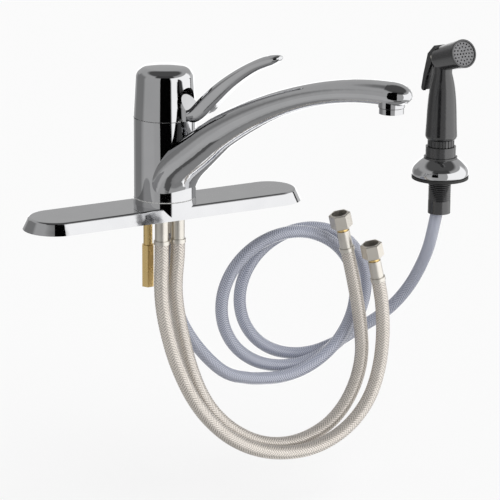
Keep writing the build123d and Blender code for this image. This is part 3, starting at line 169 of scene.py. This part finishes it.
def route_line(name, points):
    """The smooth line of a hose: one open NURBS spline with the route's points."""
    curve = bpy.data.curves.new(name, "CURVE")
    curve.dimensions = "3D"
    curve.resolution_u = 16
    spline = curve.splines.new("NURBS")
    spline.points.add(len(points) - 1)
    for point, place in zip(spline.points, points):
        point.co = (*place, 1.0)
    spline.order_u = 3
    spline.use_endpoint_u = True
    thing = bpy.data.objects.new(name, curve)
    bpy.context.scene.collection.objects.link(thing)
    bpy.context.view_layer.update()
    line = bpy.data.meshes.new_from_object(thing)
    places = [v.co.copy() for v in line.vertices]
    bpy.data.meshes.remove(line)
    bpy.data.objects.remove(thing)
    bpy.data.curves.remove(curve)
    return places


def evenly(places, step):
    """The same line read at an even spacing, with the distance along it of each place."""
    along = [0.0]
    for a, b in zip(places, places[1:]):
        along.append(along[-1] + (b - a).length)
    count = max(2, round(along[-1] / step))
    result = []
    j = 0
    for i in range(count + 1):
        want = along[-1] * i / count
        while j < len(places) - 2 and along[j + 1] < want:
            j += 1
        share = (want - along[j]) / (along[j + 1] - along[j])
        result.append((places[j].lerp(places[j + 1], share), want))
    return result


def tube_mesh(name, places, step, around, radius_at):
    """A tube along a line, whose radius is a function of the turn (0 to 1) and the way along."""
    rows = evenly(places, step)
    spots = [row[0] for row in rows]
    tangents = []
    for i in range(len(spots)):
        before = spots[max(0, i - 1)]
        after = spots[min(len(spots) - 1, i + 1)]
        tangents.append((after - before).normalized())
    side = tangents[0].orthogonal().normalized()
    verts = []
    for i, (spot, way) in enumerate(rows):
        if i:
            turn = tangents[i - 1].rotation_difference(tangents[i])
            side = turn @ side
            side = (side - tangents[i] * side.dot(tangents[i])).normalized()
        other = tangents[i].cross(side)
        for k in range(around):
            share = k / around
            radius = radius_at(share, way)
            verts.append(
                spot
                + side * (radius * math.cos(TAU * share))
                + other * (radius * math.sin(TAU * share))
            )
    faces = []
    for i in range(len(rows) - 1):
        for k in range(around):
            n = (k + 1) % around
            a = i * around
            faces.append((a + k, a + n, a + around + n, a + around + k))
    first_cap = tuple(reversed(range(around)))
    last_cap = tuple(range(len(verts) - around, len(verts)))
    mesh = bpy.data.meshes.new(name)
    mesh.from_pydata(verts, [], faces + [first_cap, last_cap])
    uv = mesh.uv_layers.new(name="along_and_around")
    for polygon in mesh.polygons:
        is_cap = polygon.index >= len(faces)
        k = polygon.index % around
        i = polygon.index // around
        corners = ((k, i), (k + 1, i), (k + 1, i + 1), (k, i + 1))
        for n, loop in enumerate(polygon.loop_indices):
            at = (0, 0) if is_cap else corners[n]
            row = min(at[1], len(rows) - 1)
            uv.data[loop].uv = (at[0] / around, rows[row][1])
        polygon.use_smooth = not is_cap
    thing = bpy.data.objects.new(name, mesh)
    bpy.context.scene.collection.objects.link(thing)
    return thing


BRAID_CARRIERS = 12
BRAID_SPACING = 0.0026
BRAID_RELIEF = 0.00045
BRAID_WIRES = 3.0
HOSE_THREADS = 11
HOSE_THREAD_SPACING = 0.0021

# How finely the hoses are cut, along and around
BRAID_STEP = 0.0006
BRAID_FACETS = BRAID_CARRIERS * 6
SPRAY_HOSE_STEP = 0.0025
SPRAY_HOSE_FACETS = 40


def braid_radius(share, way):
    """Two families of strands that pass over and under each other, two at a time."""
    p = BRAID_CARRIERS * share + way / BRAID_SPACING
    q = BRAID_CARRIERS * share - way / BRAID_SPACING
    p_on_top = (math.floor(p) + math.floor(q)) % 4 < 2
    over = p - math.floor(p) if p_on_top else q - math.floor(q)
    crown = 1 - (2 * over - 1) ** 2
    return SUPPLY_DIAMETER / 2 - BRAID_RELIEF * (1 - crown)


def plain_radius(share, way):
    return SPRAY_DIAMETER / 2


left_line = route_line("left_supply_line", LEFT_SUPPLY_ROUTE)
right_line = route_line("right_supply_line", RIGHT_SUPPLY_ROUTE)
spray_line = route_line("spray_line", spray_route())

supply_left = tube_mesh("supply_braid_left", left_line, BRAID_STEP, BRAID_FACETS, braid_radius)
supply_right = tube_mesh("supply_braid_right", right_line, BRAID_STEP, BRAID_FACETS, braid_radius)
spray_hose = tube_mesh(
    "spray_hose_run", spray_line, SPRAY_HOSE_STEP, SPRAY_HOSE_FACETS, plain_radius
)


for hose, node in ((supply_left, "supply_hose_left"), (supply_right, "supply_hose_right")):
    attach(hose, "base")
    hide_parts(node)
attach(spray_hose, "base")
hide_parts("spray_hose_coil", "spray_hose_upper", "spray_hose_tail")


# ------------------------------------------------------------------ materials
def new_material(name):
    material = bpy.data.materials.new(name)
    material.use_nodes = True
    tree = material.node_tree
    shader = tree.nodes["Principled BSDF"]
    return material, tree, shader


def noise(tree, scale, detail=3.0, rough=0.5):
    """A noise pattern in the part's own metres."""
    where = tree.nodes.new("ShaderNodeTexCoord")
    pattern = tree.nodes.new("ShaderNodeTexNoise")
    pattern.inputs["Scale"].default_value = scale
    pattern.inputs["Detail"].default_value = detail
    pattern.inputs["Roughness"].default_value = rough
    tree.links.new(where.outputs["Object"], pattern.inputs["Vector"])
    return pattern.outputs["Fac"]


def ranged(tree, value, low, high, start=0.3, end=0.7):
    node = tree.nodes.new("ShaderNodeMapRange")
    node.inputs["From Min"].default_value = start
    node.inputs["From Max"].default_value = end
    node.inputs["To Min"].default_value = low
    node.inputs["To Max"].default_value = high
    tree.links.new(value, node.inputs["Value"])
    return node.outputs["Result"]


def mixed(tree, share, one, two):
    node = tree.nodes.new("ShaderNodeMix")
    node.data_type = "RGBA"
    tree.links.new(share, node.inputs["Factor"])
    for socket, colour in ((node.inputs[6], one), (node.inputs[7], two)):
        if hasattr(colour, "links"):
            tree.links.new(colour, socket)
        else:
            socket.default_value = (*colour, 1.0)
    return node.outputs[2]


def bumped(tree, shader, height, depth):
    node = tree.nodes.new("ShaderNodeBump")
    node.inputs["Distance"].default_value = depth
    tree.links.new(height, node.inputs["Height"])
    tree.links.new(node.outputs["Normal"], shader.inputs["Normal"])


def finish_material(name, dark, light, metallic, rough, grain, depth, **sockets):
    """A surface with fine colour and gloss variation, and a slight unevenness."""
    material, tree, shader = new_material(name)
    shader.inputs["Metallic"].default_value = metallic
    for socket, value in sockets.items():
        shader.inputs[socket.replace("_", " ")].default_value = value
    broad = noise(tree, grain, 4.0, 0.55)
    tree.links.new(mixed(tree, broad, dark, light), shader.inputs["Base Color"])
    fine = noise(tree, grain * 4, 3.0, 0.6)
    tree.links.new(ranged(tree, fine, rough[0], rough[1]), shader.inputs["Roughness"])
    bumped(tree, shader, fine, depth)
    return material


MATERIALS = {
    "chrome": finish_material(
        "polished_chrome",
        (0.55, 0.553, 0.565),
        (0.63, 0.632, 0.64),
        1.0,
        (0.03, 0.07),
        45,
        0.000004,
    ),
    "steel": finish_material(
        "brushed_steel", (0.64, 0.61, 0.56), (0.76, 0.73, 0.67), 0.95, (0.3, 0.4), 60, 0.000004
    ),
    "nickel": finish_material(
        "satin_nickel", (0.66, 0.62, 0.55), (0.78, 0.745, 0.685), 0.9, (0.3, 0.42), 60, 0.000004
    ),
    "brass": finish_material(
        "turned_brass", (0.74, 0.53, 0.22), (0.88, 0.66, 0.31), 1.0, (0.24, 0.34), 60, 0.000004
    ),
    "rubber": finish_material(
        "black_rubber", (0.012, 0.012, 0.012), (0.03, 0.03, 0.03), 0.0, (0.5, 0.7), 160, 0.00003
    ),
    "black_plastic": finish_material(
        "gloss_black_plastic",
        (0.006, 0.006, 0.007),
        (0.012, 0.012, 0.013),
        0.0,
        (0.16, 0.24),
        70,
        0.000004,
        IOR=1.9,
    ),
    "white_plastic": finish_material(
        "white_acetal", (0.78, 0.78, 0.76), (0.86, 0.86, 0.84), 0.0, (0.3, 0.4), 120, 0.00001
    ),
    "ceramic": finish_material(
        "lapped_ceramic", (0.80, 0.79, 0.76), (0.87, 0.86, 0.84), 0.0, (0.12, 0.2), 200, 0.000005
    ),
    "nozzle": finish_material(
        "grey_spray_face", (0.16, 0.16, 0.165), (0.24, 0.24, 0.245), 0.0, (0.3, 0.42), 150, 0.00001
    ),
}


def maths(tree, operation, *values):
    node = tree.nodes.new("ShaderNodeMath")
    node.operation = operation
    for socket, value in zip(node.inputs, values):
        if isinstance(value, (int, float)):
            socket.default_value = value
        else:
            tree.links.new(value, socket)
    return node.outputs[0]


def hose_uv(tree, around, along):
    """Turn and way along a hose, scaled to strand counts."""
    where = tree.nodes.new("ShaderNodeUVMap")
    where.uv_map = "along_and_around"
    split = tree.nodes.new("ShaderNodeSeparateXYZ")
    tree.links.new(where.outputs["UV"], split.inputs["Vector"])
    return (
        maths(tree, "MULTIPLY", split.outputs["X"], around),
        maths(tree, "MULTIPLY", split.outputs["Y"], along),
    )


def rounded(tree, across):
    """The height of a round strand, from 0 at its two edges to 1 in its middle."""
    centred = maths(tree, "SUBTRACT", maths(tree, "MULTIPLY", across, 2.0), 1.0)
    return maths(tree, "SUBTRACT", 1.0, maths(tree, "MULTIPLY", centred, centred))


def weave(tree, carriers, spacing):
    """Height of a two-over-two braid, and the way across the strand that is on top."""
    turn, way = hose_uv(tree, carriers, 1 / spacing)
    p = maths(tree, "ADD", turn, way)
    q = maths(tree, "SUBTRACT", turn, way)
    cells = maths(tree, "ADD", maths(tree, "FLOOR", p), maths(tree, "FLOOR", q))
    # FLOORED_MODULO keeps the sign right where the way along is larger than the turn.
    family = maths(tree, "LESS_THAN", maths(tree, "FLOORED_MODULO", cells, 4.0), 2.0)
    over_p = maths(tree, "FRACT", p)
    over_q = maths(tree, "FRACT", q)
    chosen_p = maths(tree, "MULTIPLY", over_p, family)
    chosen_q = maths(tree, "MULTIPLY", over_q, maths(tree, "SUBTRACT", 1.0, family))
    over = maths(tree, "ADD", chosen_p, chosen_q)
    return rounded(tree, over), over


def braid_material():
    material, tree, shader = new_material("braided_sleeve")
    height, over = weave(tree, BRAID_CARRIERS, BRAID_SPACING)
    wire = rounded(tree, maths(tree, "FRACT", maths(tree, "MULTIPLY", over, BRAID_WIRES)))
    # Painted shade: the colour darkens to a dark brown in the gaps between strands, and each wire
    # is painted darker along its edges.
    between = ranged(tree, height, 0.0, 1.0, 0.08, 0.6)
    shade = maths(tree, "MULTIPLY", between, ranged(tree, wire, 0.72, 1.0, 0.0, 1.0))
    bright = mixed(tree, noise(tree, 90), (0.78, 0.725, 0.66), (0.88, 0.83, 0.77))
    strand = mixed(tree, shade, (0.08, 0.06, 0.045), bright)
    tree.links.new(strand, shader.inputs["Base Color"])
    shader.inputs["Metallic"].default_value = 0.6
    tree.links.new(ranged(tree, height, 0.5, 0.3, 0.0, 1.0), shader.inputs["Roughness"])
    bumped(tree, shader, wire, 0.00006)
    return material


def hose_material():
    material, tree, shader = new_material("clear_grey_hose")
    height, _ = weave(tree, HOSE_THREADS, HOSE_THREAD_SPACING)
    thread = ranged(tree, height, 0.0, 1.0, 0.35, 0.9)
    threads = mixed(tree, thread, (0.17, 0.185, 0.235), (0.48, 0.50, 0.59))
    tree.links.new(threads, shader.inputs["Base Color"])
    tree.links.new(ranged(tree, noise(tree, 60), 0.16, 0.26), shader.inputs["Roughness"])
    shader.inputs["Coat Weight"].default_value = 0.6
    shader.inputs["Coat Roughness"].default_value = 0.08
    bumped(tree, shader, height, 0.00004)
    return material


MATERIALS["braid"] = braid_material()
MATERIALS["hose"] = hose_material()


def dress(thing, slot):
    thing.data.materials.clear()
    thing.data.materials.append(MATERIALS[slot])


for row in frame["record"]["subparts"]:
    dress(NODES[row["node"]], row["material_slot"])
for hose, slot in ((supply_left, "braid"), (supply_right, "braid"), (spray_hose, "hose")):
    dress(hose, slot)


# ------------------------------------------------------------------ studio
# What polished metal sees. Each zone gives a turn to the right of the camera's direction and a
# height, from and to in degrees, then how soft its edges are, and its brightness.
ZONES = (
    (-140, -86, -20, 26, 12, 0.26),
    (-96, -40, -50, -14, 8, 0.57),
    (26, 124, -40, 34, 3, 1.45),
    (124, 150, -30, 32, 10, 0.72),
    (150, 200, -60, 10, 4, 1.5),
    (-200, -163, -25, 10, 4, 1.5),
    (-200, -130, 12, 34, 4, 0.5),
    (130, 200, 12, 48, 4, 0.5),
    (-200, 200, 50, 100, 9, 0.10),
    (-45, 45, 36, 62, 7, 0.07),
    (-200, 200, -100, -62, 4, 0.30),
    (-40, 24, -68, -52, 4, 0.12),
    (112, 168, -70, -54, 4, 1.6),
    (-200, 200, -100, -74, 4, 0.34),
)
WALL_BRIGHTNESS = 0.49
AMBIENT_BRIGHTNESS = 0.5
FLOOR_HEIGHT = -0.30
FLOOR_HALF_SIZE = 20.0
FLOOR_GLOW = 0.75
FLAG_PLACE = TO_CAMERA * 0.345 + TO_RIGHT * 0.018 + Vector((0, 0, 0.16))
FLAG_WIDTH = 0.25
FLAG_HEIGHT = 0.48
# Name, direction, strength and apparent size in degrees of each soft light
SUNS = (
    ("key", TO_RIGHT * 0.55 + TO_CAMERA * 0.6 + Vector((0, 0, 0.9)), 1.5, 50),
    ("fill", TO_RIGHT * -0.8 + TO_CAMERA * 0.5 + Vector((0, 0, 0.5)), 0.6, 60),
)


def band(tree, value, low, high, soft):
    """1 between two values and 0 outside, with soft edges."""
    rise = ranged(tree, value, 0.0, 1.0, low - soft / 2, low + soft / 2)
    fall = ranged(tree, value, 1.0, 0.0, high - soft / 2, high + soft / 2)
    return maths(tree, "MULTIPLY", rise, fall)


def world_direction(tree, vector):
    """How far a ray points along a direction, from -1 to 1."""
    where = tree.nodes.new("ShaderNodeTexCoord")
    node = tree.nodes.new("ShaderNodeVectorMath")
    node.operation = "DOT_PRODUCT"
    node.inputs[1].default_value = vector
    tree.links.new(where.outputs["Generated"], node.inputs[0])
    return node.outputs["Value"]


def studio_walls(tree):
    """The brightness of the studio's walls, ceiling and table in each direction."""
    ahead = world_direction(tree, TO_CAMERA)
    right = world_direction(tree, TO_RIGHT)
    turn = maths(tree, "DEGREES", maths(tree, "ARCTAN2", right, ahead))
    height = maths(tree, "DEGREES", maths(tree, "ARCSINE", world_direction(tree, (0, 0, 1))))
    level = WALL_BRIGHTNESS
    for turn_from, turn_to, low, high, soft, brightness in ZONES:
        share = maths(
            tree,
            "MULTIPLY",
            band(tree, turn, turn_from, turn_to, soft),
            band(tree, height, low, high, soft),
        )
        kept = maths(tree, "MULTIPLY", level, maths(tree, "SUBTRACT", 1.0, share))
        level = maths(tree, "ADD", kept, maths(tree, "MULTIPLY", share, brightness))
    return level


def build_world():
    """White to the camera, an even white for diffuse light, and studio walls for reflections."""
    world = bpy.data.worlds.new("studio")
    bpy.context.scene.world = world
    world.use_nodes = True
    tree = world.node_tree
    tree.nodes.clear()
    path = tree.nodes.new("ShaderNodeLightPath")

    def background(strength):
        node = tree.nodes.new("ShaderNodeBackground")
        node.inputs["Color"].default_value = (1, 1, 1, 1)
        if isinstance(strength, float):
            node.inputs["Strength"].default_value = strength
        else:
            tree.links.new(strength, node.inputs["Strength"])
        return node.outputs[0]

    def choose(share, one, two):
        node = tree.nodes.new("ShaderNodeMixShader")
        tree.links.new(share, node.inputs["Fac"])
        tree.links.new(one, node.inputs[1])
        tree.links.new(two, node.inputs[2])
        return node.outputs[0]

    walls = background(studio_walls(tree))
    inside = choose(path.outputs["Is Glossy Ray"], background(AMBIENT_BRIGHTNESS), walls)
    to_camera, through = path.outputs["Is Camera Ray"], path.outputs["Is Transmission Ray"]
    seen = maths(tree, "MAXIMUM", to_camera, through)
    out = tree.nodes.new("ShaderNodeOutputWorld")
    tree.links.new(choose(seen, inside, background(1.0)), out.inputs["Surface"])


def card(name, centre, across, width, height):
    """An upright rectangle whose width runs level along a direction."""
    mesh = bpy.data.meshes.new(name)
    half = Vector(across) * (width / 2)
    rise = Vector((0, 0, height / 2))
    low, high = centre - rise, centre + rise
    mesh.from_pydata([low - half, low + half, high + half, high - half], [], [(0, 1, 2, 3)])
    thing = bpy.data.objects.new(name, mesh)
    bpy.context.scene.collection.objects.link(thing)
    return thing


def floor():
    """A white table that takes the object's shadow and is close to white to the camera."""
    mesh = bpy.data.meshes.new("studio_floor")
    size, z = FLOOR_HALF_SIZE, FLOOR_HEIGHT
    corners = ((-size, -size, z), (size, -size, z), (size, size, z), (-size, size, z))
    mesh.from_pydata(corners, [], [(0, 1, 2, 3)])
    thing = bpy.data.objects.new("studio_floor", mesh)
    bpy.context.scene.collection.objects.link(thing)
    thing.visible_glossy = False
    material = bpy.data.materials.new("studio_floor_white")
    material.use_nodes = True
    tree = material.node_tree
    tree.nodes.clear()
    matte = tree.nodes.new("ShaderNodeBsdfDiffuse")
    matte.inputs["Color"].default_value = (0.9, 0.9, 0.9, 1)
    bright = tree.nodes.new("ShaderNodeEmission")
    path = tree.nodes.new("ShaderNodeLightPath")
    share = maths(tree, "MULTIPLY", path.outputs["Is Camera Ray"], FLOOR_GLOW)
    mix = tree.nodes.new("ShaderNodeMixShader")
    out = tree.nodes.new("ShaderNodeOutputMaterial")
    tree.links.new(share, mix.inputs["Fac"])
    tree.links.new(matte.outputs[0], mix.inputs[1])
    tree.links.new(bright.outputs[0], mix.inputs[2])
    tree.links.new(mix.outputs[0], out.inputs["Surface"])
    mesh.materials.append(material)


def flags():
    """A black card round the camera's place, which polished metal shows as a dark stripe."""
    material = bpy.data.materials.new("flag_black")
    material.use_nodes = True
    shader = material.node_tree.nodes["Principled BSDF"]
    shader.inputs["Base Color"].default_value = (0.002, 0.002, 0.002, 1)
    shader.inputs["Specular IOR Level"].default_value = 0.0
    black = card("camera_flag", FLAG_PLACE, TO_RIGHT, FLAG_WIDTH, FLAG_HEIGHT)
    black.data.materials.append(material)
    black.visible_camera = False
    black.visible_diffuse = False
    black.visible_shadow = False
    black.visible_transmission = False


def sun(name, towards, strength, angle):
    light = bpy.data.lights.new(name, "SUN")
    light.energy = strength
    light.angle = math.radians(angle)
    thing = bpy.data.objects.new(name, light)
    thing.rotation_euler = Vector(towards).to_track_quat("Z", "Y").to_euler()
    bpy.context.scene.collection.objects.link(thing)
    thing.visible_glossy = False


build_world()
floor()
flags()
for light in SUNS:
    sun(*light)
